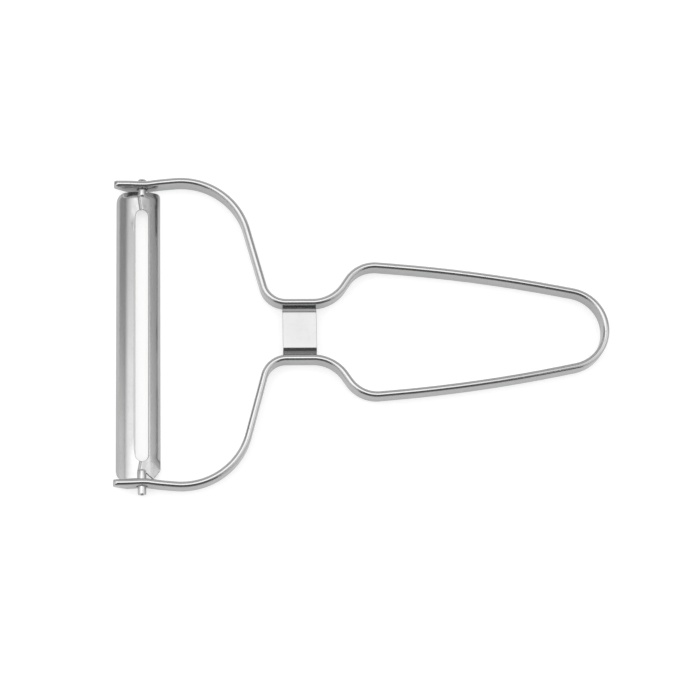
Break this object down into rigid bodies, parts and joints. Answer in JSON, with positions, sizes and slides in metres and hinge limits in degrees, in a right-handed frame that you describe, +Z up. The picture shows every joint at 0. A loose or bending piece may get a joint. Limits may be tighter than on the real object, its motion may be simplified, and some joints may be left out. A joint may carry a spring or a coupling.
{
  "type": "peeling knife",
  "caption": "Stainless peeling knife: a bent flat strip forms a wide fork and a handle loop, a bridge ties the waist, and a slotted arched blade swivels on its own pins between the fork's arms.",
  "frame": {"origin": "on the table, under the middle of the overall length and the middle of the blade's pin line", "axes": "+X from the blade to the end of the handle loop, +Y along the blade, +Z up from the table the strip's lower edge rests on"},
  "size_m": [0.1248, 0.0814, 0.0055],
  "materials": {
    "polished_strip": "polished drawn stainless strip with rounded edges",
    "polished_sheet": "bright polished stainless sheet",
    "ground_blade": "satin hardened stainless sheet with a ground cutting edge"
  },
  "bodies": {
    "frame": {"frame_strip": "polished_strip", "waist_bridge": "polished_sheet"},
    "blade": {"swivel_blade": "ground_blade"}
  },
  "joints": [
    {"name": "blade_swivel", "type": "hinge", "parent": "frame", "child": "blade", "pos_m": [-0.05531, 0, 0.00275], "axis": [0, 1, 0], "continuous": true}
  ]
}
